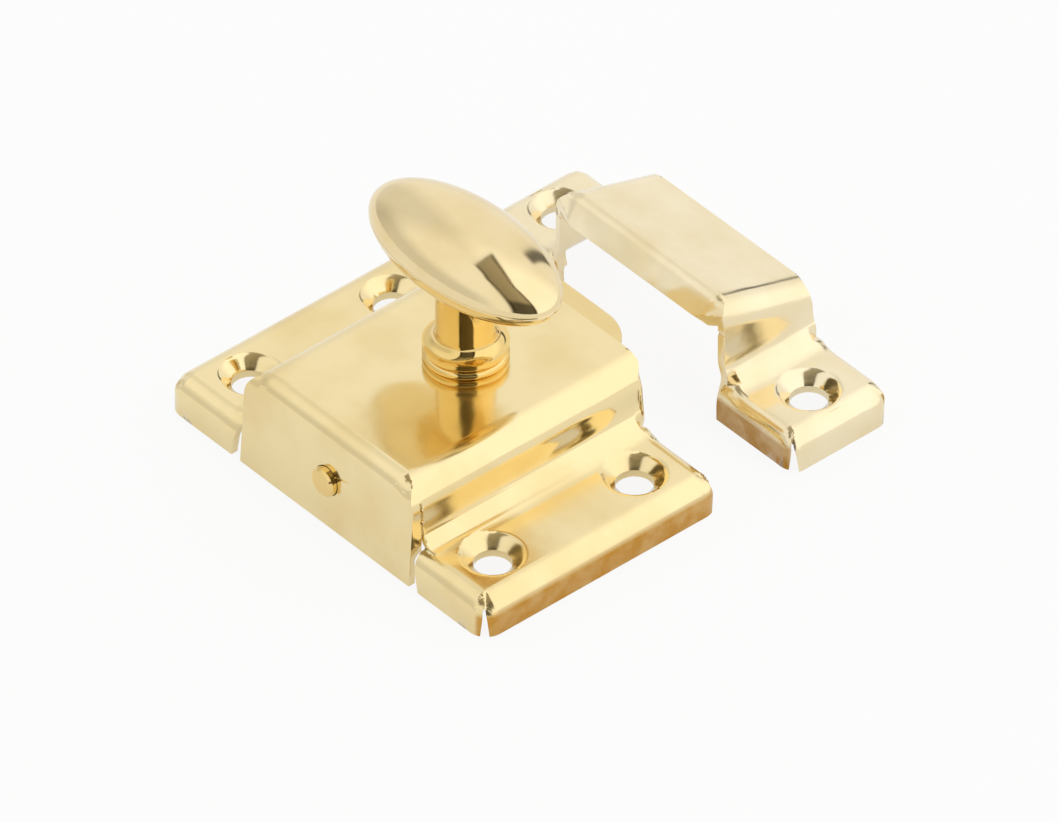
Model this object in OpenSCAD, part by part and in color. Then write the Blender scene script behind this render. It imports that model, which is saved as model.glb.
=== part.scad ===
// Cupboard turn: a sprung bolt in a stamped case, drawn back by an oval knob, with its strike.
// Millimetres. X runs across the case, Y along the bolt's travel, Z up from the board.
// The origin is the middle of the four case screws, on the face of the board.

/* [Sheet] */
// thickness of the stamped sheet of the case and the strike
sheet_t = 0.9; // [0.6:0.1:1.4]
// outside radius of the bend between a flange and its lip
lip_bend_r = 1.9; // [1.2:0.1:2.6]
// outside radius of the bend at the top of a riser
top_bend_r = 2.2; // [1.4:0.1:3]
// radius of the hollow where a riser meets its flange
foot_r = 1.6; // [0.8:0.1:2.4]
// height of the flange tops above the board
flange_h = 4.9; // [4:0.1:6.5]

/* [Case] */
// case size across both flanges
case_w = 54; // [50:0.5:64]
// case size along the bolt
case_l = 34.6; // [33:0.2:40]
// outside width of the raised box
box_w = 28.6; // [27:0.2:32]
// height of the box top above the board
box_h = 13; // [12.4:0.1:15]
// how far the top of the end wall stands in from its foot
end_wall_lean = 0.9; // [0:0.1:1.6]
// how far the box reaches past the flanges at the bolt end
box_overhang = 0.4; // [0:0.1:1]
// radius of the upright corners at the bolt end
end_corner_r = 1.6; // [1:0.1:2.4]
// width of the notch between two lips, at the board
corner_notch_w = 1.5; // [1:0.1:3]
// width of the notch beside the foot of the end wall, at the board
foot_notch_w = 1.7; // [1:0.1:2.6]
// width of the slit that frees the end wall from the risers
wall_slit_w = 0.3; // [0.2:0.05:0.6]

/* [Screw holes] */
// case screw spacing across the case
case_hole_x = 41; // [40:0.5:46]
// case screw spacing along the bolt
case_hole_y = 20.8; // [19:0.2:24]
// strike screw spacing
strike_hole_x = 42; // [40:0.5:46]
// diameter of the screw hole
hole_d = 4.4; // [3.6:0.1:4.8]
// diameter of the pressed countersink at the flange top
sink_d = 7.2; // [6.4:0.1:7.6]
// how far the countersink is pressed down
sink_depth = 1.35; // [0.8:0.05:1.8]
// radius of the countersink's soft rim
sink_rim_r = 1.1; // [0.4:0.1:1.4]

/* [Knob] */
// length of the oval knob
knob_l = 28.6; // [24:0.2:34]
// width of the oval knob
knob_w = 14; // [11:0.2:17]
// thickness of the oval knob
knob_t = 9.2; // [7:0.2:11]
// height of the knob's seam above the board
knob_z = 27.7; // [25:0.1:32]
// wall of the knob shells
knob_wall = 0.9; // [0.6:0.1:1.2]

/* [Spindle] */
// how far the spindle stands from the middle of the case, toward the bolt end
spindle_y = 3.5; // [3:0.1:4.2]
// diameter of the stem between the foot and the knob
stem_d = 6.8; // [6:0.1:8]
// diameter of the stem's foot and of the collar under it
foot_d = 9.8; // [9:0.1:12]
// height of the flared foot
foot_h = 2.5; // [2:0.1:3.2]
// thickness of the collar's rim above the case
collar_t = 1.1; // [0.8:0.1:1.6]
// radius of the soft edges of the foot and the collar
rim_r = 0.5; // [0.2:0.05:0.5]
// diameter of the journal that turns in the collar
journal_d = 5.6; // [5:0.1:6]
// diameter of the collar's neck in the case top
neck_d = 7.4; // [7:0.1:8]
// radial running clearance of turning and sliding pins
run_gap = 0.08; // [0.05:0.01:0.1]
// diameter of the spacer sleeve under the case top
sleeve_d = 7.6; // [7:0.1:8]
// side of the square that carries the cam
square_w = 4; // [3.6:0.1:4.4]

/* [Cam and bolt] */
// base radius of the cam: bolt travel for each radian of turn
cam_base_r = 2.6; // [2.2:0.1:2.6]
// distance from the spindle to the cam face that meets the bolt at rest
cam_flat = 4.6; // [4.4:0.1:5]
// turn of the knob that draws the bolt back, in degrees
knob_turn = 90; // [60:5:90]
// thickness of the cam
cam_t = 2.4; // [1.8:0.1:2.6]
// clearance of the bolt from the cam, the sleeve and the case top
cam_gap = 0.3; // [0.2:0.05:0.4]
// thickness of the bolt's sheet
bolt_t = 1.5; // [1.2:0.1:1.8]
// width of the bolt's tongue
tongue_w = 20; // [16:0.2:21]
// width of the bolt inside the case
bolt_w = 23.4; // [22:0.2:24.4]
// reach of the tongue past the case
tongue_reach = 3.3; // [2.8:0.1:3.8]
// radius of the tongue's corners seen from above
tongue_corner_r = 6; // [3:0.1:7]
// clearance round the tongue in the end of the case
tongue_gap = 0.15; // [0.1:0.05:0.3]
// width of the bolt's rear tab
tab_w = 14; // [12:0.5:16]
// height of the tab's lower edge above the board
tab_z = 3.2; // [2.8:0.1:3.6]
// diameter of the tail pin
pin_d = 3.6; // [3:0.1:3.8]
// height of the tail pin above the board
pin_z = 6; // [5.6:0.1:6.4]
// how far the tail pin stands out of the end wall
pin_out = 0.8; // [0.5:0.1:2]

/* [Spring] */
// wire diameter of the bolt spring
wire_d = 0.7; // [0.5:0.05:0.9]
// number of coils of the bolt spring
coils = 6; // [5:1:7]
// clearance between the spring and the tail pin
spring_gap = 0.25; // [0.15:0.05:0.4]

/* [Strike] */
// strike size across both flanges
strike_w = 53.4; // [51:0.2:64]
// strike size along the bolt
strike_l = 14.6; // [14:0.2:17]
// outside width of the bridge
bridge_w = 28.4; // [26:0.2:29]
// size of the bridge along the bolt
bridge_l = 13.2; // [12:0.2:13.6]
// height of the bridge's ridge above the board
bridge_h = 15.7; // [15:0.1:17]
// height of the bridge's far edge above the board
bridge_far_h = 12; // [11:0.1:14]
// distance of the ridge from the near edge of the risers
ridge_in = 1.3; // [1:0.1:1.6]
// how far the lip reaches past the near edge of the risers
lip_out = 1.2; // [1:0.1:1.6]
// outside radius of the bend along the ridge
ridge_r = 1.6; // [1.2:0.1:2.2]
// angle of the bridge's lip below the level
lip_angle = 46; // [40:1:50]
// distance from the case centre to the strike centre
strike_y = 34.6; // [34:0.1:44]
// sideways place of the strike
strike_x = 1.3; // [0:0.1:2]

/* [Hidden] */
$fn = 48;
eps = 0.01;
brass = [0.93, 0.78, 0.45];
bolt_brass = [0.85, 0.68, 0.36];
steel = [0.72, 0.73, 0.75];
plate_under_z = box_h - sheet_t;
bolt_top_z = plate_under_z - cam_gap;
bolt_under_z = bolt_top_z - bolt_t;
cam_top_z = bolt_under_z - cam_gap;
cam_z = cam_top_z - cam_t;
cam_washer_t = 0.6;
peen_h = 0.9;
peen_d = 6.2;
sleeve_top_z = plate_under_z - run_gap;
foot_z = box_h + collar_t + run_gap;
stem_top_z = knob_z - knob_t / 2 + 2.2;
travel = cam_base_r * knob_turn * PI / 180;
shoulder_y = spindle_y - cam_flat - cam_gap;
tab_y = shoulder_y - bolt_t;
box_far_y = case_l / 2 + box_overhang;
tongue_tip_y = box_far_y + tongue_reach;
bolt_stop_y = box_far_y - sheet_t - tongue_gap;
coil_r = pin_d / 2 + spring_gap + wire_d / 2;
wall_in_y = wall_y(pin_z + coil_r + wire_d / 2, sheet_t);
spring_l = tab_y - wall_in_y;
sink_flat = sink_rim_r * tan(atan(2 * sink_depth / (sink_d - hole_d)) / 2) + 0.05;
roof_fall = atan((bridge_h - bridge_far_h) / (bridge_l - ridge_in));
lip_edge_y = -bridge_l / 2 - lip_out;
lip_edge_z = bridge_h - (ridge_in + lip_out) * tan(lip_angle);

// end wall's face at height z; inset s gives the inner face
function wall_y(z, s) = -case_l / 2 + s + end_wall_lean * z / box_h;

// ridge of the strike's bridge, in Y and Z; inset s gives the inner one
function ridge(s) = [ridge_in - bridge_l / 2, bridge_h]
    - [cos(lip_angle) - cos(roof_fall), sin(roof_fall) + sin(lip_angle)] * s / sin(roof_fall + lip_angle);

// plain geometry of a rounded corner b between its neighbours a and c
function unit(v) = v / norm(v);
function half_turn(a, b, c) = acos(unit(a - b) * unit(c - b)) / 2;
function tangent_len(a, b, c, r) = r / tan(half_turn(a, b, c));
function tangent_in(a, b, c, r) = b + unit(a - b) * tangent_len(a, b, c, r);
function tangent_out(a, b, c, r) = b + unit(c - b) * tangent_len(a, b, c, r);
function corner_centre(a, b, c, r) = b + unit(unit(a - b) + unit(c - b)) * r / sin(half_turn(a, b, c));
function before(p, i) = p[(i + len(p) - 1) % len(p)];
function after(p, i) = p[(i + 1) % len(p)];
function corner_points(p, r, i) = r[i] > 0
    ? [tangent_in(before(p, i), p[i], after(p, i), r[i]), tangent_out(before(p, i), p[i], after(p, i), r[i])]
    : [p[i]];

// convex outline p with a true arc of radius r[i] at each corner
module rounded_outline(p, r) {
    polygon([for (i = [0 : len(p) - 1]) for (q = corner_points(p, r, i)) q]);
    for (i = [0 : len(p) - 1])
        if (r[i] > 0)
            translate(corner_centre(before(p, i), p[i], after(p, i), r[i]))
                circle(r = r[i]);
}

// hollow of radius r that fills the inside corner b, let into both walls by sink
module corner_fill(a, b, c, r, sink) {
    into_a = -unit(c - b) * sink;
    into_c = -unit(a - b) * sink;
    difference() {
        polygon([tangent_in(a, b, c, r), tangent_in(a, b, c, r) + into_a, b + into_a + into_c,
                 tangent_out(a, b, c, r) + into_c, tangent_out(a, b, c, r), corner_centre(a, b, c, r)]);
        translate(corner_centre(a, b, c, r))
            circle(r = r);
    }
}

// section in X and Z drawn out along Y
module along_y(y0, y1) {
    translate([0, y1, 0])
        rotate([90, 0, 0])
            linear_extrude(y1 - y0)
                children();
}

// section in Y and Z drawn out along X
module along_x(x0, x1) {
    translate([x0, 0, 0])
        rotate([90, 0, 90])
            linear_extrude(x1 - x0)
                children();
}

// flange form: level top, lips turned down all round, nothing between -gap and gap in X
// inset s gives its inner face
module flange_form(w, l, s, gap) {
    x = w / 2 - s;
    y = l / 2 - s;
    z = flange_h - s;
    r = lip_bend_r - s;
    low = s > 0 ? -1 : 0;
    for (m = [0, 1])
        mirror([m, 0, 0])
            intersection() {
                along_y(-l, l)
                    rounded_outline([[gap, low], [x, low], [x, z], [gap, z]], [0, 0, r, 0]);
                along_x(0, w)
                    rounded_outline([[-y, low], [y, low], [y, z], [-y, z]], [0, 0, r, r]);
            }
}

// hollow along the foot of both risers, where they pass the flange at foot_x; inset s gives its inner face
module foot_fill(foot_x, l, s) {
    z = flange_h - s;
    for (m = [0, 1])
        mirror([m, 0, 0])
            along_y(-l / 2 + lip_bend_r, l / 2 - lip_bend_r)
                corner_fill([foot_x, z + 9], [foot_x, z], [foot_x + 9, z], foot_r + s, sheet_t / 3);
}

// raised box of the case; inset s gives its inner face
module box_form(s) {
    x = box_w / 2 - s;
    z = box_h - s;
    far = box_far_y - s;
    low = s > 0 ? -1 : 0;
    r = top_bend_r - s;
    rc = end_corner_r - s;
    intersection() {
        along_y(-case_l, far + 5)
            rounded_outline([[-x, low], [x, low], [x, z], [-x, z]], [0, 0, r, r]);
        along_x(-x - 5, x + 5)
            rounded_outline([[wall_y(low, s), low], [far, low], [far, z], [wall_y(z, s), z]], [0, 0, 0, r]);
        translate([0, 0, low - 1])
            linear_extrude(z - low + 2)
                rounded_outline([[-x, -case_l], [x, -case_l], [x, far], [-x, far]], [0, 0, rc, rc]);
    }
}

// pressed countersink at a screw hole
module sink() {
    rim = sink_d / 2;
    hole = hole_d / 2;
    edge = rim + sink_flat + 0.3;
    steep = sink_depth / (rim - hole);
    translate([0, 0, flange_h])
        rotate_extrude()
            difference() {
                rounded_outline([[hole, -9], [edge, -9], [edge, 0], [rim, 0], [hole, -sink_depth]],
                                [0, 0, 0, sink_rim_r, 0]);
                rounded_outline([[hole - 1, -10], [edge + 1, -10], [edge + 1, -sheet_t], [rim, -sheet_t],
                                 [hole - 1, -sheet_t - sink_depth - steep]], [0, 0, 0, sink_rim_r, 0]);
            }
}

module at_case_holes() {
    for (x = [-1, 1], y = [-1, 1])
        translate([x * case_hole_x / 2, y * case_hole_y / 2, 0])
            children();
}

module at_strike_holes() {
    for (x = [-1, 1])
        translate([x * strike_hole_x / 2, 0, 0])
            children();
}

// room for one pressed countersink in its flange
module sink_room() {
    translate([0, 0, flange_h - 2 * sheet_t])
        cylinder(r = sink_d / 2 + sink_flat, h = 4 * sheet_t);
}

// notches that part the lips at the four corners of a flange form
module corner_notches(w, l) {
    for (x = [-1, 1], y = [-1, 1])
        translate([x * w / 2, y * l / 2, 0])
            rotate([0, 0, x * y * 45])
                along_x(-lip_bend_r - 1, lip_bend_r + 1)
                    polygon([[-corner_notch_w / 2, -1], [corner_notch_w / 2, -1], [0.15, flange_h - 1],
                             [-0.15, flange_h - 1]]);
}

// stamped case: flanges, box, end wall and the bolt's window
module case() {
    color(brass) {
        difference() {
            union() {
                flange_form(case_w, case_l, 0, box_w / 2);
                box_form(0);
                foot_fill(box_w / 2, case_l, 0);
            }
            flange_form(case_w, case_l, sheet_t, box_w / 2 - sheet_t);
            box_form(sheet_t);
            foot_fill(box_w / 2 - sheet_t, case_l, sheet_t);
            at_case_holes() sink_room();
            corner_notches(case_w, case_l);
            // slits and notches that free the end walls from the flanges
            for (m = [0, 1], y = [-1, 1])
                mirror([m, 0, 0])
                    translate([box_w / 2, y * case_l / 2, 0])
                        along_y(-lip_bend_r, lip_bend_r)
                            polygon([[0, -1], [foot_notch_w, -1], [0.3, flange_h + foot_r], [0, flange_h + foot_r]]);
            for (x = [-1, 1])
                translate([x * (box_w / 2 - sheet_t / 2) - sheet_t, -case_l / 2 + sheet_t + end_wall_lean, -1])
                    cube([2 * sheet_t, wall_slit_w, box_h - top_bend_r + 1]);
            // tail pin hole
            translate([0, -case_l / 2 - 2, pin_z])
                rotate([-90, 0, 0])
                    cylinder(r = pin_d / 2 + run_gap, h = 6);
            // window for the tongue, open up to the case top
            translate([-tongue_w / 2 - tongue_gap, case_l / 2 - 3, bolt_under_z - tongue_gap])
                cube([tongue_w + 2 * tongue_gap, 6, plate_under_z - bolt_under_z + tongue_gap]);
            // hole for the collar's neck
            translate([0, spindle_y, box_h - 3])
                cylinder(d = neck_d, h = 6);
        }
        at_case_holes() sink();
    }
}

// collar pressed into the case top; the spindle turns in it
module spindle_collar() {
    color(brass)
        translate([0, spindle_y, 0])
            difference() {
                union() {
                    translate([0, 0, box_h])
                        rotate_extrude()
                            rounded_outline([[0, 0], [foot_d / 2, 0], [foot_d / 2, collar_t], [0, collar_t]],
                                            [0, rim_r, rim_r, 0]);
                    translate([0, 0, plate_under_z])
                        cylinder(d = neck_d, h = sheet_t + eps);
                }
                translate([0, 0, plate_under_z - 1])
                    cylinder(r = journal_d / 2 + run_gap, h = sheet_t + collar_t + 2);
            }
}

// turned spindle: stem with a flared foot, journal, square and peened end
module spindle() {
    cove_r = (foot_d - stem_d) / 2;
    color(brass)
        translate([0, spindle_y, 0]) {
            rotate_extrude()
                difference() {
                    union() {
                        translate([0, cam_top_z])
                            square([journal_d / 2, foot_z - cam_top_z]);
                        translate([0, foot_z])
                            rounded_outline([[0, 0], [foot_d / 2, 0], [foot_d / 2, foot_h], [0, foot_h]],
                                            [0, rim_r, 0, 0]);
                        translate([0, foot_z])
                            square([stem_d / 2, stem_top_z - foot_z]);
                    }
                    translate([foot_d / 2, foot_z + foot_h])
                        circle(r = cove_r);
                }
            translate([-square_w / 2, -square_w / 2, cam_z - cam_washer_t])
                cube([square_w, square_w, cam_t + cam_washer_t]);
            translate([0, 0, cam_z - cam_washer_t - peen_h])
                cylinder(d = peen_d, h = peen_h);
        }
}

// spacer sleeve between the case top and the cam
module spindle_sleeve() {
    color(steel)
        translate([0, spindle_y, cam_top_z])
            difference() {
                cylinder(d = sleeve_d, h = sleeve_top_z - cam_top_z);
                translate([0, 0, -1])
                    cylinder(d = journal_d, h = sleeve_top_z - cam_top_z + 2);
            }
}

// point of the cam's flank that meets the bolt after the knob has turned by a
function flank(a) = let(p = cam_flat + cam_base_r * a * PI / 180)
    [-p * sin(a) - cam_base_r * cos(a), -p * cos(a) + cam_base_r * sin(a)];

// cam with two alike flanks, so the knob draws the bolt whichever way it is turned
module cam() {
    steps = 18;
    left = [for (i = [0 : steps]) flank(i * knob_turn / steps)];
    tip = left[steps];
    right = [for (i = [steps : -1 : 0]) [-left[i].x, left[i].y]];
    color(steel)
        translate([0, spindle_y, cam_z])
            difference() {
                linear_extrude(cam_t)
                    polygon(concat(left, [tip + [1.2, 1], [-cam_flat, cam_flat + 0.6], [cam_flat, cam_flat + 0.6],
                                          [-tip.x - 1.2, tip.y + 1]], right));
                translate([-square_w / 2, -square_w / 2, -1])
                    cube([square_w, square_w, cam_t + 2]);
            }
}

// washer under the cam, held by the peened end of the spindle
module cam_washer() {
    color(steel)
        translate([0, spindle_y, cam_z - cam_washer_t])
            difference() {
                cylinder(d = peen_d + 1.2, h = cam_washer_t);
                translate([-square_w / 2, -square_w / 2, -1])
                    cube([square_w, square_w, cam_washer_t + 2]);
            }
}

// oval form of the knob; inset s gives its inner face
module oval(s) {
    translate([0, spindle_y, knob_z])
        scale([knob_l / 2 - s, knob_w / 2 - s, knob_t / 2 - s])
            sphere(r = 1, $fn = 72);
}

// upper pressed shell of the knob
module knob_top_shell() {
    color(brass)
        difference() {
            oval(0);
            oval(knob_wall);
            translate([-knob_l, spindle_y - knob_w, knob_z - knob_t])
                cube([2 * knob_l, 2 * knob_w, knob_t]);
        }
}

// lower pressed shell of the knob, closed on the stem
module knob_base_shell() {
    color(brass)
        difference() {
            oval(0);
            oval(knob_wall);
            translate([-knob_l, spindle_y - knob_w, knob_z])
                cube([2 * knob_l, 2 * knob_w, knob_t]);
            translate([0, spindle_y, knob_z - knob_t])
                cylinder(d = stem_d, h = knob_t);
        }
}

// stamped bolt: tongue, plate with a slot for the sleeve, and a rear tab bent down that the cam draws back
module latch_bolt() {
    slot_r = sleeve_d / 2 + cam_gap;
    tip_bevel = bolt_t - 0.6;
    tab_bend_r = 0.6;
    plate_y = shoulder_y + tab_bend_r;
    color(bolt_brass)
        difference() {
            intersection() {
                // side view: level plate, tab behind it
                along_x(-bolt_w, bolt_w)
                    difference() {
                        rounded_outline([[tab_y, tab_z], [tongue_tip_y, tab_z], [tongue_tip_y, bolt_top_z],
                                         [tab_y, bolt_top_z]], [0, 0, 0, tab_bend_r + bolt_t]);
                        rounded_outline([[shoulder_y, tab_z - 1], [tongue_tip_y + 1, tab_z - 1],
                                         [tongue_tip_y + 1, bolt_under_z], [shoulder_y, bolt_under_z]],
                                        [0, 0, 0, tab_bend_r]);
                    }
                // view from above: tab, plate and round-cornered tongue
                translate([0, 0, tab_z - 1])
                    linear_extrude(bolt_top_z - tab_z + 2) {
                        translate([-tab_w / 2, tab_y - 1])
                            square([tab_w, plate_y - tab_y + 2]);
                        translate([-bolt_w / 2, plate_y])
                            square([bolt_w, bolt_stop_y - plate_y]);
                        rounded_outline([[-tongue_w / 2, plate_y], [tongue_w / 2, plate_y],
                                         [tongue_w / 2, tongue_tip_y], [-tongue_w / 2, tongue_tip_y]],
                                        [0, 0, tongue_corner_r, tongue_corner_r]);
                    }
            }
            // slot for the sleeve over the whole travel
            translate([0, 0, bolt_under_z - 1])
                linear_extrude(bolt_t + 2) {
                    translate([0, spindle_y])
                        circle(r = slot_r);
                    translate([0, spindle_y + travel])
                        circle(r = slot_r);
                    translate([-slot_r, spindle_y])
                        square([2 * slot_r, travel]);
                }
            // ramp under the tip
            along_x(-bolt_w, bolt_w)
                polygon([[tongue_tip_y - 2 * tip_bevel, bolt_under_z - eps], [tongue_tip_y + eps, bolt_under_z - eps],
                         [tongue_tip_y + eps, bolt_under_z + tip_bevel]]);
            // seat of the tail pin
            translate([0, tab_y - 1, pin_z])
                rotate([-90, 0, 0])
                    cylinder(d = pin_d, h = bolt_t + 2);
        }
}

// tail pin set in the bolt's tab; it slides through the end wall
module bolt_tail_pin() {
    y0 = wall_y(pin_z, 0) - pin_out;
    end_bevel = 0.25;
    color(brass)
        translate([0, 0, pin_z])
            rotate([-90, 0, 0]) {
                translate([0, 0, y0 + end_bevel])
                    cylinder(d = pin_d, h = shoulder_y - 0.1 - y0 - end_bevel);
                translate([0, 0, y0])
                    cylinder(d1 = pin_d - 2 * end_bevel, d2 = pin_d, h = end_bevel);
            }
}

// spring: height of the wire's middle after k coils, close-wound for one coil at each end
function coil_z(k) = let(close = wire_d + 0.12, open = (spring_l - wire_d - 2 * close) / (coils - 2))
    k <= 1 ? k * close : k >= coils - 1 ? spring_l - wire_d - (coils - k) * close : close + (k - 1) * open;

// compression spring on the tail pin, between the end wall and the bolt's tab
module bolt_spring() {
    around = 8;
    steps = coils * 20;
    points = [for (i = [0 : steps]) for (j = [0 : around - 1])
        let(a = 360 * coils * i / steps, b = 360 * j / around, r = coil_r + wire_d / 2 * cos(b))
        [r * cos(a), r * sin(a), wire_d / 2 + coil_z(coils * i / steps) + wire_d / 2 * sin(b)]];
    sides = [for (i = [0 : steps - 1]) for (j = [0 : around - 1])
        [i * around + j, (i + 1) * around + j, (i + 1) * around + (j + 1) % around, i * around + (j + 1) % around]];
    first = [for (j = [0 : around - 1]) j];
    last = [for (j = [around - 1 : -1 : 0]) steps * around + j];
    color(steel)
        translate([0, wall_in_y, pin_z])
            rotate([-90, 0, 0])
                polyhedron(points, concat(sides, [first, last]));
}

// bridge of the strike: a roof that falls to the far edge and a sloped lip; inset s gives its inner face
module bridge_form(s) {
    x = bridge_w / 2 - s;
    r = top_bend_r - s;
    low = s > 0 ? -1 : 0;
    near = s > 0 ? -strike_l : lip_edge_y;
    far = s > 0 ? strike_l : bridge_l / 2;
    top = ridge(s);
    intersection() {
        along_x(-x - 5, x + 5)
            rounded_outline([[near, low], [far, low], [far, top.y - (far - top.x) * tan(roof_fall)], top,
                             [near, top.y - (top.x - near) * tan(lip_angle)]], [0, 0, 0, ridge_r - s, 0]);
        translate([0, top.x, top.y])
            rotate([-roof_fall, 0, 0])
                along_y(-2 * strike_l, 2 * strike_l)
                    rounded_outline([[-x, -3 * bridge_h], [x, -3 * bridge_h], [x, 0], [-x, 0]], [0, 0, r, r]);
    }
}

// what is cut from the lip: its edge square to the slope, both corners, and the risers under them
module lip_cuts() {
    x = bridge_w / 2;
    corner_x = 4;
    edge = [lip_edge_y, lip_edge_z];
    down = [-cos(lip_angle), -sin(lip_angle)];
    inward = [sin(lip_angle), -cos(lip_angle)] * 2 * sheet_t;
    along_x(-x, x)
        polygon([edge, edge + down * 3, edge + down * 3 + inward, edge + inward]);
    for (m = [0, 1])
        mirror([m, 0, 0])
            translate([0, 0, -1])
                linear_extrude(bridge_h + 2)
                    polygon([[x - corner_x, lip_edge_y], [x - corner_x, -strike_l], [x + 1, -strike_l],
                             [x + 1, -bridge_l / 2], [x - sheet_t / 2, -bridge_l / 2]]);
}

// stamped strike: two flanges, a bridge for the tongue and a sloped lip that pushes the bolt back
module strike() {
    color(brass)
        translate([strike_x, strike_y, 0]) {
            difference() {
                union() {
                    flange_form(strike_w, strike_l, 0, bridge_w / 2 - sheet_t / 2);
                    difference() {
                        bridge_form(0);
                        lip_cuts();
                    }
                    foot_fill(bridge_w / 2, strike_l, 0);
                }
                flange_form(strike_w, strike_l, sheet_t, bridge_w / 2 - sheet_t);
                bridge_form(sheet_t);
                foot_fill(bridge_w / 2 - sheet_t, strike_l, sheet_t);
                at_strike_holes() sink_room();
                corner_notches(strike_w, strike_l);
            }
            at_strike_holes() sink();
        }
}

case();
spindle_collar();
spindle();
spindle_sleeve();
cam();
cam_washer();
knob_top_shell();
knob_base_shell();
latch_bolt();
bolt_tail_pin();
bolt_spring();
strike();
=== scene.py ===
import math

import bmesh
import bpy
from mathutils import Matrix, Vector


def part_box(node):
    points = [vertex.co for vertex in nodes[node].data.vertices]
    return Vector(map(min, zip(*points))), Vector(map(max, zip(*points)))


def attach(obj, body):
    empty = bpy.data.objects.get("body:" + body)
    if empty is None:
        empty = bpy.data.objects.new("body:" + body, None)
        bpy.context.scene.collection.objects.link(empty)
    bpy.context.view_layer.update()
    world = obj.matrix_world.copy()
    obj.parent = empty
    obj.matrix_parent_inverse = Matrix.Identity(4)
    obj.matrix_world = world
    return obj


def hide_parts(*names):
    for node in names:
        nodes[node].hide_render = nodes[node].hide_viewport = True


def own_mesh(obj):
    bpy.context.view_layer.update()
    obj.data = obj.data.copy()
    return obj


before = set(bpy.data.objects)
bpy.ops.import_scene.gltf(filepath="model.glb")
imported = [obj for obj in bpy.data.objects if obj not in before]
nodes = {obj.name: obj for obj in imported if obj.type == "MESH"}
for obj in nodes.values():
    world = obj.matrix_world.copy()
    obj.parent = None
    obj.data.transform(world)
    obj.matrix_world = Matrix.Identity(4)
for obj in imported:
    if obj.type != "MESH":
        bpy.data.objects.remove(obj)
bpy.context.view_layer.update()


# Case: a cover stamped from thin sheet steel, plated with bright brass and lacquered.
# The press leaves soft bends, eased edges, rounded corners and faint waves in the sheet.
# The lip at one side has a deeper, blotched amber tone painted on, a painted reflection of the dark floor
# beside it.
mm = 0.001
upward = Vector((0, 0, 1))
sheet = 0.9 * mm
sheet_ease = 0.18 * mm
case_half_x = 27 * mm
case_half_y = 17.3 * mm
case_corner = 2.4 * mm
box_half = 14.3 * mm
box_top = 13 * mm
flange_top = 4.9 * mm
lip_bend = 1.9 * mm
soft_lip = 2.8 * mm
soft_end_lip = 2.4 * mm
end_lip_fade = 0.8 * mm
foot_bend = 1.6 * mm
soft_foot = 3.6 * mm
foot_start = -15.9 * mm
foot_fade = 1.7 * mm
top_bend = 2.2 * mm
soft_top = 3.6 * mm


def calc(tree, operation, *values):
    """A Math node in the tree, from numbers or sockets."""
    node = tree.nodes.new("ShaderNodeMath")
    node.operation = operation
    for socket, value in zip(node.inputs, values):
        if isinstance(value, (int, float)):
            socket.default_value = value
        else:
            tree.links.new(value, socket)
    return node.outputs[0]


def ranged(tree, value, span, result=(0.0, 1.0)):
    """A socket's span of numbers mapped to another span, and held at both ends."""
    node = tree.nodes.new("ShaderNodeMapRange")
    for label, number in zip(("From Min", "From Max", "To Min", "To Max"), (*span, *result)):
        node.inputs[label].default_value = number
    tree.links.new(value, node.inputs["Value"])
    return node.outputs["Result"]


def noise(tree, place, scale, detail):
    """Soft noise on a piece's own coordinates."""
    node = tree.nodes.new("ShaderNodeTexNoise")
    node.inputs["Scale"].default_value = scale
    node.inputs["Detail"].default_value = detail
    tree.links.new(place, node.inputs["Vector"])
    return node.outputs["Fac"]


def blended(tree, share, under, over):
    """One colour laid over another by a share; either is a colour or a socket."""
    colour_a, colour_b, colour_result = 6, 7, 2
    node = tree.nodes.new("ShaderNodeMix")
    node.data_type = 'RGBA'
    tree.links.new(share, node.inputs["Factor"])
    for number, colour in ((colour_a, under), (colour_b, over)):
        if isinstance(colour, tuple):
            node.inputs[number].default_value = (*colour, 1)
        else:
            tree.links.new(colour, node.inputs[number])
    return node.outputs[colour_result]


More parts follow.
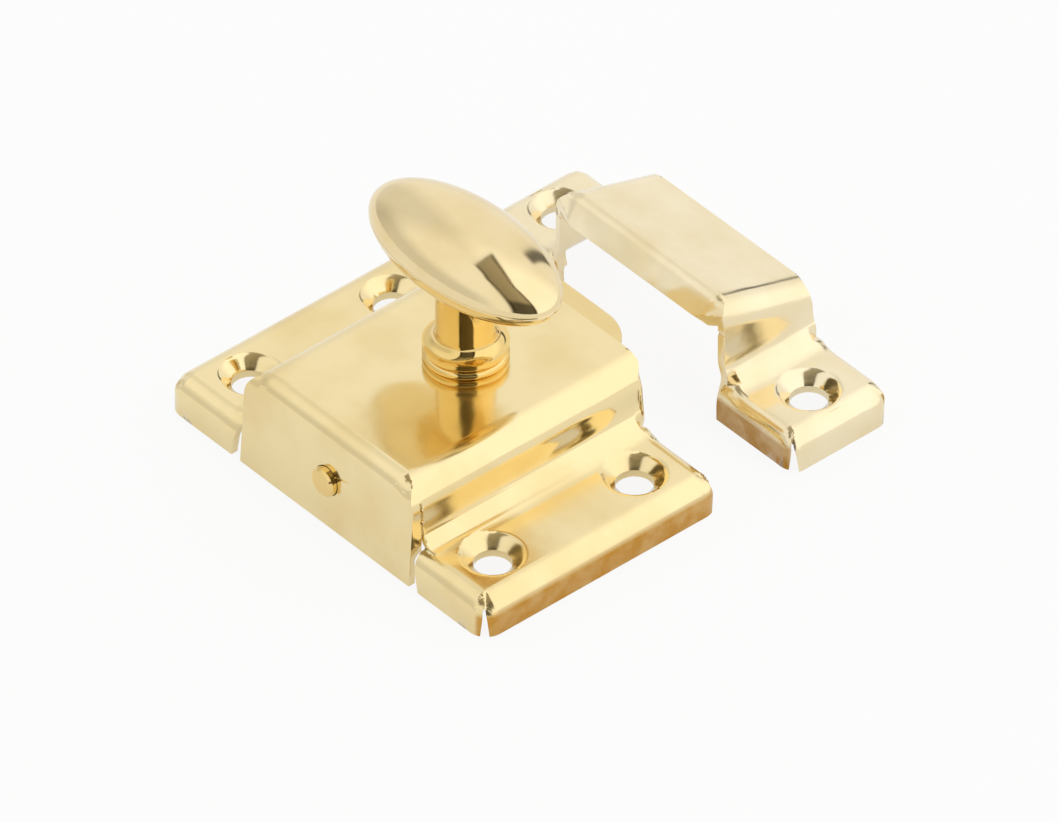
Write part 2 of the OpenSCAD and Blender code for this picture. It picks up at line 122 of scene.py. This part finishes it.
def clouded_metal(name, colour, gloss, wave, wave_size, painted_reflection=None):
    """Metal with clouded tone and gloss, and waves of depth wave. A painted reflection has a colour, the axis
    along which it comes in, from start to full, and the height top under which it lies; it is a darker,
    warmer tone in blotches, painted in place of the dark floor a lip mirrors."""
    deeper = tuple(part * share for part, share in zip(colour, (0.95, 0.91, 0.82)))
    painted_reflection_edge = 0.7 * mm
    finish = bpy.data.materials.new(name)
    finish.use_nodes = True
    tree = finish.node_tree
    metal = tree.nodes["Principled BSDF"]
    metal.inputs["Metallic"].default_value = 1.0
    metal.inputs["Coat Weight"].default_value = 0.5
    metal.inputs["Coat Roughness"].default_value = 0.05
    place = tree.nodes.new("ShaderNodeTexCoord").outputs["Object"]
    clouds = noise(tree, place, scale=110.0, detail=4.0)
    tone = blended(tree, ranged(tree, clouds, (0.42, 0.68)), colour, deeper)
    # Painted reflection: a darker, warmer tone in blotches on part of a lip, standing in for the dark floor
    # it mirrors.
    if painted_reflection:
        spot = tree.nodes.new("ShaderNodeSeparateXYZ")
        tree.links.new(place, spot.inputs["Vector"])
        beyond = ranged(tree, spot.outputs[painted_reflection["axis"]], (painted_reflection["start"], painted_reflection["full"]))
        below = ranged(tree, spot.outputs["Z"], (painted_reflection["top"], painted_reflection["top"] - painted_reflection_edge))
        reflection_blotches = ranged(tree, noise(tree, place, scale=420.0, detail=5.0), (0.38, 0.62), (0.75, 1.0))
        share = calc(tree, 'MULTIPLY', calc(tree, 'MULTIPLY', beyond, below), reflection_blotches)
        tone = blended(tree, share, tone, painted_reflection["colour"])
    tree.links.new(tone, metal.inputs["Base Color"])
    dull = ranged(tree, clouds, (0.35, 0.7), (gloss * 0.6, gloss * 1.5))
    tree.links.new(dull, metal.inputs["Roughness"])
    bump = tree.nodes.new("ShaderNodeBump")
    bump.inputs["Strength"].default_value = 1.0
    bump.inputs["Distance"].default_value = wave
    tree.links.new(noise(tree, place, scale=1 / wave_size, detail=1.5), bump.inputs["Height"])
    tree.links.new(bump.outputs["Normal"], metal.inputs["Normal"])
    return finish


def cut(bm, point, across, faces=None, dist=1e-7):
    """Cuts a mesh, or only some of its faces, along a plane."""
    if faces is None:
        parts = bm.verts[:] + bm.edges[:] + bm.faces[:]
    else:
        parts = [*{v for f in faces for v in f.verts}, *{e for f in faces for e in f.edges}, *faces]
    bmesh.ops.bisect_plane(bm, geom=parts, dist=dist, plane_co=point, plane_no=across)


def rounded_corners(bm, radius):
    """Rounds the four plan corners of a flanged sheet, cutting it finely there first."""
    cuts = 6
    low = Vector([min(v.co[i] for v in bm.verts) for i in range(3)])
    high = Vector([max(v.co[i] for v in bm.verts) for i in range(3)])
    middle, half = (low + high) / 2, (high - low) / 2
    for axis in (0, 1):
        across = Vector((0, 0, 0))
        across[axis] = 1
        for side in (-1, 1):
            for k in range(cuts):
                point = middle.copy()
                point[axis] += side * (half[axis] - radius + radius * k / cuts)
                cut(bm, point, across)
    for v in bm.verts:
        out = [abs(v.co[i] - middle[i]) - (half[i] - radius) for i in (0, 1)]
        if min(out) > 0:
            pull = max(out) / math.hypot(*out)
            for i in (0, 1):
                way = 1 if v.co[i] > middle[i] else -1
                v.co[i] = middle[i] + way * (half[i] - radius + out[i] * pull)


def everywhere(co):
    """The share of a bend that is widened alike at every point."""
    return 1.0


def softened(bm, corner, face_a, face_b, old, new, hollow=False, share=everywhere):
    """Widens a bend of the sheet from radius old to new. Its two faces meet at the point corner, and face_a
    and face_b point at them from the middle of the bend, so that a hollow bend has its sheet outside."""
    steps = 14
    middle = corner - (face_a + face_b) * new
    under = new + sheet if hollow else new - sheet
    outer = max(new, under)
    widened = new - old

    def reach(turn, level):
        """How far from the middle the old face lies that is level away from it beside the bend."""
        long, short = max(math.cos(turn), math.sin(turn)), min(math.cos(turn), math.sin(turn))
        flat = level / long
        if flat * short <= widened:
            return flat
        part = widened * (long + short)
        return part + math.sqrt(part * part - 2 * widened * widened + (old + level - new) ** 2)

    def spot(v):
        return (v.co - middle).dot(face_a), (v.co - middle).dot(face_b)

    def near(v):
        a, b = spot(v)
        return min(a, b) > -0.05 * mm and max(a, b) < outer + 0.6 * mm

    for k in range(steps + 1):
        turn = math.pi / 2 * k / steps
        cut(bm, middle, face_b * math.cos(turn) - face_a * math.sin(turn),
            [f for f in bm.faces if any(near(v) for v in f.verts)], dist=1e-6)

    # Depth is 0 on the face that the bend is given by and 1 on the other face of the sheet.
    snap, last_snap = 0.08, 1.5
    fade_from, fade_to = 1.4, 3
    for v in bm.verts:
        a, b = spot(v)
        if min(a, b) < 1e-8:
            continue
        turn, far = math.atan2(b, a), math.hypot(a, b)
        top, bottom = reach(turn, new), reach(turn, under)
        depth = (far - top) / (bottom - top)
        if hollow and depth > fade_to or depth < -1:
            continue
        if abs(depth - round(depth)) < snap and depth < last_snap:
            depth = round(depth)
        if depth > 1 and not hollow:
            moved = under * far / bottom
        else:
            moved = new + (under - new) * depth
        if hollow and depth > fade_from:
            moved = moved + (far - moved) * min(1, (depth - fade_from) / (fade_to - fade_from))
        part = share(v.co) * min(1, 1 + depth)
        v.co += (face_a * a + face_b * b) / far * (moved - far) * part

    # Old fold lines that lie between two cuts are taken out, so that the strips of the bend are even.
    fold = face_a.cross(face_b)
    along_fold, off_cut, slight = 0.999, 0.03, math.radians(15)
    spare = []
    for e in bm.edges:
        ends = [spot(v) for v in e.verts]
        span = e.verts[1].co - e.verts[0].co
        if min(min(end) for end in ends) < 0.02 * mm or abs(span.dot(fold)) < along_fold * span.length:
            continue
        if max(math.hypot(*end) for end in ends) > outer + 0.05 * mm or len(e.link_faces) != 2:
            continue
        step = math.atan2(ends[0][1], ends[0][0]) / (math.pi / 2 / steps)
        if abs(step - round(step)) > off_cut and e.calc_face_angle() < slight:
            spare.append(e)
    bmesh.ops.dissolve_edges(bm, edges=spare, use_verts=True)


def settled(piece):
    """The piece with its modifiers turned into a plain mesh."""
    plain = bpy.data.meshes.new_from_object(piece.evaluated_get(bpy.context.evaluated_depsgraph_get()))
    piece.modifiers.clear()
    piece.data = plain
    return piece


def eased(node, ease, bends=(), corner=0.0, mouths=None):
    """A copy of a CAD node with sharp edges rounded by ease, bends widened, plan corners rounded, and
    smooth, even normals. Mouths are the planes where flanges are open to the middle, and the ends and top
    of the openings."""
    flat, sharp, crease = math.radians(0.5), math.radians(30), math.radians(50)
    mesh = nodes[node].data.copy()
    mesh.name = node + "_eased"
    bm = bmesh.new()
    bm.from_mesh(mesh)
    bmesh.ops.remove_doubles(bm, verts=bm.verts, dist=1e-7)
    if mouths:
        start, end = mouths["ends"]
        for y in (start, end):
            cut(bm, (0, y, 0), (0, 1, 0))
        shut = []
        for f in bm.faces:
            centre = f.calc_center_median()
            in_plane = min(abs(centre.x - x) for x in mouths["planes"]) < 1e-6 and abs(f.normal.x) > 0.99
            if in_plane and start < centre.y < end and centre.z < mouths["top"]:
                shut.append(f)
        bmesh.ops.delete(bm, geom=shut, context='FACES')
        bmesh.ops.holes_fill(bm, edges=[e for e in bm.edges if e.is_boundary], sides=0)
        bmesh.ops.recalc_face_normals(bm, faces=bm.faces)
    bmesh.ops.dissolve_limit(bm, angle_limit=flat, verts=bm.verts, edges=bm.edges)
    edges = [e for e in bm.edges if e.is_manifold and e.calc_face_angle() > sharp]
    bmesh.ops.bevel(bm, geom=edges, offset=ease, offset_type='OFFSET', segments=2, profile=0.5,
                    affect='EDGES', clamp_overlap=True)
    for bend in bends:
        softened(bm, **bend)
    if corner:
        rounded_corners(bm, corner)
    bmesh.ops.triangulate(bm, faces=[f for f in bm.faces if len(f.verts) > 4])
    bmesh.ops.dissolve_degenerate(bm, dist=2e-6, edges=bm.edges)
    for f in bm.faces:
        f.smooth = True
    for e in bm.edges:
        e.smooth = not e.is_manifold or e.calc_face_angle() < crease
    bm.to_mesh(mesh)
    bm.free()
    mesh.materials.clear()
    piece = bpy.data.objects.new(node + "_eased", mesh)
    bpy.context.scene.collection.objects.link(piece)
    even = piece.modifiers.new("even", 'WEIGHTED_NORMAL')
    even.weight = 50
    even.keep_sharp = True
    return settled(piece)


def flange_bends(middle_x, half_x, riser_x, foot_share=everywhere):
    """The bends of a pair of flanges: the lip at each side and the foot of each riser."""
    found = []
    for side in (-1, 1):
        out = Vector((side, 0, 0))
        found.append(dict(corner=Vector((middle_x + side * half_x, 0, flange_top)), face_a=out, face_b=upward,
                          old=lip_bend, new=soft_lip))
        found.append(dict(corner=Vector((middle_x + side * riser_x, 0, flange_top)), face_a=-out,
                          face_b=-upward, old=foot_bend, new=soft_foot, hollow=True, share=foot_share))
    return found


def past_end_wall(co):
    """The feet of the box fade out at the slit beside its end wall."""
    return min(1, max(0, (co.y - foot_start) / foot_fade))


def on_flange(co):
    """The end lips fade out where the box stands."""
    return min(1, max(0, (abs(co.x) - box_half) / end_lip_fade))


case_bends = flange_bends(0, case_half_x, box_half, past_end_wall)
for side in (-1, 1):
    case_bends.append(dict(corner=Vector((0, side * case_half_y, flange_top)), face_a=Vector((0, side, 0)),
                           face_b=upward, old=lip_bend, new=soft_end_lip, share=on_flange))
for side in (-1, 1):
    case_bends.append(dict(corner=Vector((side * box_half, 0, box_top)), face_a=Vector((side, 0, 0)),
                           face_b=upward, old=top_bend, new=soft_top))
# Painted reflection: amber blotches low on the lip at the +X side, in place of the dark floor it mirrors.
painted_amber_reflection = dict(colour=(0.56, 0.26, 0.015), axis="X", start=25.2 * mm, full=25.7 * mm, top=3.3 * mm)
case = eased("case", sheet_ease, case_bends, case_corner)
case.data.materials.append(clouded_metal("case_brass", (0.91, 0.75, 0.41), gloss=0.17, wave=0.10 * mm,
                                         wave_size=7 * mm, painted_reflection=painted_amber_reflection))
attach(case, "case_body")
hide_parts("case")


# Collar, spindle and tail pin: turned from brass rod and buffed, so that they are the glossiest.
# The collar is pressed into the top of the case, and the pin is set in the tab of the bolt.
turned_brass = clouded_metal("turned_brass", (0.87, 0.63, 0.23), gloss=0.08, wave=0.01 * mm, wave_size=3 * mm)
for name in ("spindle_collar", "spindle", "bolt_tail_pin"):
    nodes[name].data.materials.clear()
    nodes[name].data.materials.append(turned_brass)


# Knob: two pressed oval shells that meet rim to rim at the middle, plated and buffed.
# A hairline shows where the rims meet; the lower shell is closed on the stem at a round hole.
knob_wall = 0.9 * mm
rim_ease = 0.10 * mm
stem_hole = 3.4 * mm


def new_tree(name, sizes, place):
    """A node tree with named inputs, sizes as numbers and a place as a vector; also the inputs' sockets."""
    tree = bpy.data.node_groups.new(name, 'GeometryNodeTree')
    for label in sizes:
        tree.interface.new_socket(label, in_out='INPUT', socket_type='NodeSocketFloat')
    tree.interface.new_socket(place, in_out='INPUT', socket_type='NodeSocketVector')
    tree.interface.new_socket("Piece", in_out='OUTPUT', socket_type='NodeSocketGeometry')
    return tree, tree.nodes.new("NodeGroupInput").outputs


def set_points(tree, shape, x, y, z, place):
    """Puts each point of a shape at x, y and z from a place."""
    point = tree.nodes.new("ShaderNodeCombineXYZ")
    for socket, value in zip(point.inputs, (x, y, z)):
        tree.links.new(value, socket)
    placed = tree.nodes.new("ShaderNodeVectorMath")
    tree.links.new(point.outputs[0], placed.inputs[0])
    tree.links.new(place, placed.inputs[1])
    shaped = tree.nodes.new("GeometryNodeSetPosition")
    tree.links.new(shape, shaped.inputs["Geometry"])
    tree.links.new(placed.outputs[0], shaped.inputs["Position"])
    return shaped.outputs[0]


def dressed(tree, shape, material):
    """Ends a tree with its shape made real and its material on."""
    real = tree.nodes.new("GeometryNodeRealizeInstances")
    tree.links.new(shape, real.inputs["Geometry"])
    clad = tree.nodes.new("GeometryNodeSetMaterial")
    clad.inputs["Material"].default_value = material
    tree.links.new(real.outputs[0], clad.inputs["Geometry"])
    tree.links.new(clad.outputs[0], tree.nodes.new("NodeGroupOutput").inputs[0])


def oval_shell_tree(material):
    """Half of an oval shell, from its rim to a round hole; Side is 1 for the upper half, -1 for the lower."""
    seam_gap = 0.002 * mm
    tree, given = new_tree("oval_shell", ("Half Length", "Half Width", "Half Height", "Hole Radius", "Side"),
                           "Middle")
    add, link = tree.nodes.new, tree.links.new
    grid = add("GeometryNodeMeshGrid")
    for label, value in (("Size X", 1.0), ("Size Y", 1.0), ("Vertices X", 193), ("Vertices Y", 49)):
        grid.inputs[label].default_value = value
    spot = add("ShaderNodeSeparateXYZ")
    link(add("GeometryNodeInputPosition").outputs[0], spot.inputs[0])
    around = calc(tree, 'MULTIPLY', calc(tree, 'ADD', spot.outputs["X"], 0.5), math.tau)
    turn = calc(tree, 'MULTIPLY', around, given["Side"])
    rise = calc(tree, 'MULTIPLY', calc(tree, 'ADD', spot.outputs["Y"], 0.5), math.pi / 2)
    reach = calc(tree, 'COSINE', rise)
    hole = calc(tree, 'MULTIPLY', calc(tree, 'SUBTRACT', 1.0, reach), given["Hole Radius"])
    x = calc(tree, 'MULTIPLY', calc(tree, 'MULTIPLY_ADD', reach, given["Half Length"], hole),
             calc(tree, 'COSINE', turn))
    y = calc(tree, 'MULTIPLY', calc(tree, 'MULTIPLY_ADD', reach, given["Half Width"], hole),
             calc(tree, 'SINE', turn))
    part_x = calc(tree, 'POWER', calc(tree, 'ABSOLUTE', calc(tree, 'DIVIDE', x, given["Half Length"])), 2.0)
    part_y = calc(tree, 'POWER', calc(tree, 'ABSOLUTE', calc(tree, 'DIVIDE', y, given["Half Width"])), 2.0)
    left = calc(tree, 'MAXIMUM', calc(tree, 'SUBTRACT', calc(tree, 'SUBTRACT', 1.0, part_x), part_y), 0.0)
    z = calc(tree, 'MULTIPLY', calc(tree, 'MULTIPLY', calc(tree, 'SQRT', left), given["Half Height"]),
             given["Side"])
    closed = add("GeometryNodeMergeByDistance")
    closed.inputs["Distance"].default_value = seam_gap
    link(set_points(tree, grid.outputs["Mesh"], x, y, z, given["Middle"]), closed.inputs["Geometry"])
    smooth = add("GeometryNodeSetShadeSmooth")
    link(closed.outputs[0], smooth.inputs["Geometry"])
    dressed(tree, smooth.outputs[0], material)
    return tree


def made(name, tree, values, finishing=()):
    """The plain mesh that a node tree gives for these named values, after its finishing modifiers."""
    piece = bpy.data.objects.new(name, bpy.data.meshes.new(name))
    bpy.context.scene.collection.objects.link(piece)
    maker = piece.modifiers.new("maker", 'NODES')
    maker.node_group = tree
    for item in tree.interface.items_tree:
        if item.in_out == 'INPUT':
            maker[item.identifier] = values[item.name]
    for kind, settings in finishing:
        step = piece.modifiers.new(kind.lower(), kind)
        for key, value in settings.items():
            setattr(step, key, value)
    return settled(piece)


knob_shell = oval_shell_tree(
    clouded_metal("knob_brass", (0.89, 0.73, 0.42), gloss=0.10, wave=0.015 * mm, wave_size=4 * mm))
top_low, top_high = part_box("knob_top_shell")
rim_middle = Vector(((top_low.x + top_high.x) / 2, (top_low.y + top_high.y) / 2, top_low.z))
knob_finishing = (
    ('SOLIDIFY', {"thickness": knob_wall, "offset": -1.0, "use_even_offset": True, "use_rim": True}),
    ('BEVEL', {"width": rim_ease, "segments": 2, "limit_method": 'ANGLE', "angle_limit": math.radians(50)}),
)
for name, side, hole in (("knob_top_shell", 1.0, 0.0), ("knob_base_shell", -1.0, stem_hole)):
    shell = made(name + "_pressed", knob_shell, {
        "Half Length": (top_high.x - top_low.x) / 2,
        "Half Width": (top_high.y - top_low.y) / 2,
        "Half Height": top_high.z - top_low.z,
        "Hole Radius": hole,
        "Side": side,
        "Middle": rim_middle,
    }, knob_finishing)
    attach(shell, "knob_body")
    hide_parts(name)


# Bolt: stamped from thicker sheet, its tongue sheared to a slope and its rear tab bent down.
# It was plated with the case, and rubbing in the window keeps the tongue bright.
bolt_ease = 0.15 * mm
bolt = eased("latch_bolt", bolt_ease)
bolt.data.materials.append(
    clouded_metal("bolt_brass", (0.86, 0.67, 0.32), gloss=0.14, wave=0.05 * mm, wave_size=5 * mm))
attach(bolt, "bolt_body")
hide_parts("latch_bolt")


# Sleeve, cam and washer: plain steel under the case, held on the spindle's square by its peened end.
# They are oiled, not plated, so their tone is grey with a dull, clouded gloss.
plain_steel = clouded_metal("plain_steel", (0.56, 0.55, 0.53), gloss=0.27, wave=0.03 * mm, wave_size=2 * mm)
for name in ("spindle_sleeve", "cam", "cam_washer"):
    nodes[name].data.materials.clear()
    nodes[name].data.materials.append(plain_steel)


# Spring: steel wire wound on the tail pin, with a close coil at each end, between end wall and tab.
# It shortens when the knob draws the bolt back.
wire = 0.7 * mm
coils = 6.0
close_gap = 0.12 * mm


def coil_tree(material):
    """Round wire wound about Y from the point Start, with a close coil at each end."""
    tree, given = new_tree("wound_wire", ("Wire", "Coil Radius", "Length", "Coils"), "Start")
    add, link = tree.nodes.new, tree.links.new
    straight = add("GeometryNodeCurvePrimitiveLine")
    many = add("GeometryNodeResampleCurve")
    many.inputs["Count"].default_value = 289
    link(straight.outputs["Curve"], many.inputs["Curve"])
    along_wire = add("GeometryNodeSplineParameter").outputs["Factor"]
    coil = calc(tree, 'MULTIPLY', along_wire, given["Coils"])
    turn = calc(tree, 'MULTIPLY', coil, math.tau)
    close = calc(tree, 'ADD', given["Wire"], close_gap)
    free = calc(tree, 'SUBTRACT', calc(tree, 'SUBTRACT', given["Length"], given["Wire"]),
                calc(tree, 'MULTIPLY', close, 2.0))
    open_count = calc(tree, 'SUBTRACT', given["Coils"], 2.0)
    pitch = calc(tree, 'DIVIDE', free, open_count)
    first = calc(tree, 'MULTIPLY', calc(tree, 'MINIMUM', coil, 1.0), close)
    open_coils = calc(tree, 'MINIMUM', calc(tree, 'MAXIMUM', calc(tree, 'SUBTRACT', coil, 1.0), 0.0),
                      open_count)
    last_start = calc(tree, 'SUBTRACT', given["Coils"], 1.0)
    last = calc(tree, 'MULTIPLY', calc(tree, 'MAXIMUM', calc(tree, 'SUBTRACT', coil, last_start), 0.0), close)
    height = calc(tree, 'ADD', calc(tree, 'ADD', first, calc(tree, 'MULTIPLY', open_coils, pitch)), last)
    x = calc(tree, 'MULTIPLY', calc(tree, 'COSINE', turn), given["Coil Radius"])
    y = calc(tree, 'MULTIPLY_ADD', given["Wire"], 0.5, height)
    z = calc(tree, 'MULTIPLY', calc(tree, 'MULTIPLY', calc(tree, 'SINE', turn), given["Coil Radius"]), -1.0)
    wound = set_points(tree, many.outputs["Curve"], x, y, z, given["Start"])
    round_wire = add("GeometryNodeCurvePrimitiveCircle")
    round_wire.inputs["Resolution"].default_value = 14
    link(calc(tree, 'MULTIPLY', given["Wire"], 0.5), round_wire.inputs["Radius"])
    drawn = add("GeometryNodeCurveToMesh")
    drawn.inputs["Fill Caps"].default_value = True
    link(wound, drawn.inputs["Curve"])
    link(round_wire.outputs["Curve"], drawn.inputs["Profile Curve"])
    dressed(tree, drawn.outputs[0], material)
    return tree


spring_steel = clouded_metal("spring_steel", (0.50, 0.50, 0.50), gloss=0.22, wave=0.01 * mm, wave_size=1 * mm)
spring_low, spring_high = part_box("bolt_spring")
spring_start = Vector(((spring_low.x + spring_high.x) / 2, spring_low.y, (spring_low.z + spring_high.z) / 2))
spring_length = spring_high.y - spring_low.y
spring = made("bolt_spring_wound", coil_tree(spring_steel), {
    "Wire": wire,
    "Coil Radius": (spring_high.z - spring_low.z - wire) / 2,
    "Length": spring_length,
    "Coils": coils,
    "Start": spring_start,
})
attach(spring, "case_body")
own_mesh(spring)
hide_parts("bolt_spring")


# Strike: the keeper that takes the bolt, stamped from the same sheet and plated with it.
# Its roof and risers are wavier than the case, and its near lip has a painted brown reflection of the dark
# floor.
# Two screws hold it to the frame; its flanges are open towards the bridge.
strike_middle = Vector((1.3, 34.6, 0)) * mm
strike_half_x = 26.7 * mm
strike_corner = 2.0 * mm
riser_half = 14.2 * mm
roof_run = 11.9 * mm
roof_drop = 3.7 * mm
soft_roof = 3.2 * mm
ridge = Vector((0, 29.3, 15.7)) * mm
mouth = riser_half - sheet
strike_mouths = dict(planes=(strike_middle.x - mouth, strike_middle.x + mouth), ends=(28.2 * mm, 41.0 * mm),
                     top=4.0 * mm)
roof_fall = math.atan2(roof_drop, roof_run)
roof_way = Vector((0, math.sin(roof_fall), math.cos(roof_fall)))
strike_bends = flange_bends(strike_middle.x, strike_half_x, riser_half)
for side in (-1, 1):
    strike_bends.append(dict(corner=ridge + Vector((strike_middle.x + side * riser_half, 0, 0)),
                             face_a=Vector((side, 0, 0)), face_b=roof_way, old=top_bend, new=soft_roof))
# Painted reflection: brown blotches low on the near lip, in place of the dark floor it mirrors.
painted_brown_reflection = dict(colour=(0.42, 0.20, 0.015), axis="Y", start=28.0 * mm, full=27.5 * mm, top=3.6 * mm)
strike = eased("strike", sheet_ease, strike_bends, strike_corner, strike_mouths)
strike.data.materials.append(clouded_metal("strike_brass", (0.92, 0.80, 0.54), gloss=0.18, wave=0.26 * mm,
                                           wave_size=6 * mm, painted_reflection=painted_brown_reflection))
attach(strike, "strike_body")
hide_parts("strike")


# Studio: a pale floor between two white screens, with a darker gap over the object that runs from
# the lens across the top to the back, and a dark slit low behind it. Both are placed by the angles
# at which the knob mirrors them towards the lens.
azimuth = math.radians(48.92)
elevation = math.radians(39.89)
lens_distance = 2.5
aim_right = 0.00969
aim_up = 0.00516
photo_width = 1059
pixels_per_metre = 9007.0
sensor = 36
floor_half = 4
forward = Vector((math.sin(azimuth), -math.cos(azimuth), 0))
right = Vector((math.cos(azimuth), math.sin(azimuth), 0))
to_lens = forward * math.cos(elevation) + Vector((0, 0, math.sin(elevation)))
lens_up = to_lens.cross(right)

floor_mesh = bpy.data.meshes.new("floor")
floor_mesh.from_pydata([(x * floor_half, y * floor_half, 0) for x, y in ((-1, -1), (1, -1), (1, 1), (-1, 1))],
                       [], [(0, 1, 2, 3)])
floor = bpy.data.objects.new("floor", floor_mesh)
bpy.context.scene.collection.objects.link(floor)
floor_paint = bpy.data.materials.new("floor_paint")
floor_paint.use_nodes = True
floor_tree = floor_paint.node_tree
paint = floor_tree.nodes["Principled BSDF"]
paint.inputs["Base Color"].default_value = (0.92, 0.92, 0.91, 1)
paint.inputs["Roughness"].default_value = 0.9
paint.inputs["Specular IOR Level"].default_value = 0.0
glow = floor_tree.nodes.new("ShaderNodeEmission")
glow.inputs["Strength"].default_value = 1.0
path = floor_tree.nodes.new("ShaderNodeLightPath")
glow_share = 0.0
for ray, part in (("Is Camera Ray", 0.9), ("Is Glossy Ray", 0.6), ("Is Transmission Ray", 0.6)):
    glow_share = calc(floor_tree, 'MULTIPLY_ADD', path.outputs[ray], part, glow_share)
glowing = floor_tree.nodes.new("ShaderNodeMixShader")
floor_tree.links.new(glow_share, glowing.inputs["Fac"])
floor_tree.links.new(paint.outputs["BSDF"], glowing.inputs[1])
floor_tree.links.new(glow.outputs["Emission"], glowing.inputs[2])
floor_tree.links.new(glowing.outputs["Shader"], floor_tree.nodes["Material Output"].inputs["Surface"])
floor_mesh.materials.append(floor_paint)

world = bpy.data.worlds.new("screens")
bpy.context.scene.world = world
world.use_nodes = True
sky = world.node_tree
background = sky.nodes["Background"]
way_out = sky.nodes.new("ShaderNodeTexCoord").outputs["Generated"]


def along(axis):
    """How far a direction of the world points along an axis, from -1 to 1."""
    dot = sky.nodes.new("ShaderNodeVectorMath")
    dot.operation = 'DOT_PRODUCT'
    dot.inputs[1].default_value = axis
    sky.links.new(way_out, dot.inputs[0])
    return dot.outputs["Value"]


front = along(forward)
sideways = along(right)
height = along(upward)

# The gap: its middle and half width change from back to lens, and it ends low at the back left.
gap_back, gap_top, gap_lens = -0.3, 0.1, 0.87
gap_middle = calc(sky, 'ADD', ranged(sky, front, (gap_back, gap_top), (-0.18, -0.16)),
                  ranged(sky, front, (gap_top, gap_lens), (0.0, 0.25)))
gap_half = ranged(sky, front, (0.0, gap_lens), (0.17, 0.38))
off_gap = calc(sky, 'SUBTRACT', sideways, gap_middle)
across_gap = calc(sky, 'DIVIDE', calc(sky, 'DIVIDE', calc(sky, 'ABSOLUTE', off_gap), gap_half), 2.0)
past_end = ranged(sky, calc(sky, 'ADD', front, sideways), (-0.40, -0.50), (0.0, 0.7))
away = calc(sky, 'MAXIMUM', across_gap, past_end)
gap = sky.nodes.new("ShaderNodeValToRGB")
white = (1, 1, 1, 1)
dusk = (0.33, 0.29, 0.21, 1)
dark = (0.12, 0.10, 0.06, 1)
dark_edge = (0.14, 0.12, 0.08, 1)
tones = gap.color_ramp.elements
tones[0].position = 0.0
tones[0].color = dusk
tones[1].position = 0.58
tones[1].color = white
for position, colour in ((0.36, dusk), (0.43, dark), (0.49, dark_edge)):
    tones.new(position).color = colour
sky.links.new(away, gap.inputs["Fac"])
sky.links.new(gap.outputs["Color"], background.inputs["Color"])

# The screens: brighter on the right, weaker behind, and shaded in the gap near the lens, low on the
# left, and in the slit.
screens = calc(sky, 'MULTIPLY', ranged(sky, off_gap, (-0.1, 0.1), (1.0, 1.22)),
               ranged(sky, front, (-0.3, -0.6), (1.0, 0.8)))
near_lens = calc(sky, 'MULTIPLY', ranged(sky, away, (0.45, 0.55), (1.0, 0.0)),
                 ranged(sky, front, (0.55, 0.7), (0.0, 0.7)))
low_left = calc(sky, 'MULTIPLY', ranged(sky, sideways, (-0.55, -0.8)),
                ranged(sky, height, (0.35, 0.6), (0.26, 0.0)))
slit_lean, slit_shift = 0.55, -0.02
off_slit = calc(sky, 'ABSOLUTE',
                calc(sky, 'ADD', calc(sky, 'MULTIPLY_ADD', front, slit_lean, sideways), slit_shift))
behind = calc(sky, 'MULTIPLY', ranged(sky, front, (-0.5, -0.6), (0.0, 0.85)),
              ranged(sky, height, (0.55, 0.65), (1.0, 0.0)))
slit = calc(sky, 'MULTIPLY', ranged(sky, off_slit, (0.05, 0.08), (1.0, 0.0)), behind)
light = screens
for shade in (near_lens, low_left, slit):
    light = calc(sky, 'MULTIPLY', light, calc(sky, 'SUBTRACT', 1.0, shade))
sky.links.new(light, background.inputs["Strength"])

camera_data = bpy.data.cameras.new("camera")
camera_data.sensor_width = sensor
camera_data.lens = lens_distance * sensor / (photo_width / pixels_per_metre)
camera_data.clip_end = 20
camera = bpy.data.objects.new("camera", camera_data)
bpy.context.scene.collection.objects.link(camera)
camera.location = right * aim_right + lens_up * aim_up + to_lens * lens_distance
camera.rotation_euler = to_lens.to_track_quat('Z', 'Y').to_euler()
bpy.context.scene.camera = camera
bpy.context.scene.view_settings.view_transform = 'Standard'
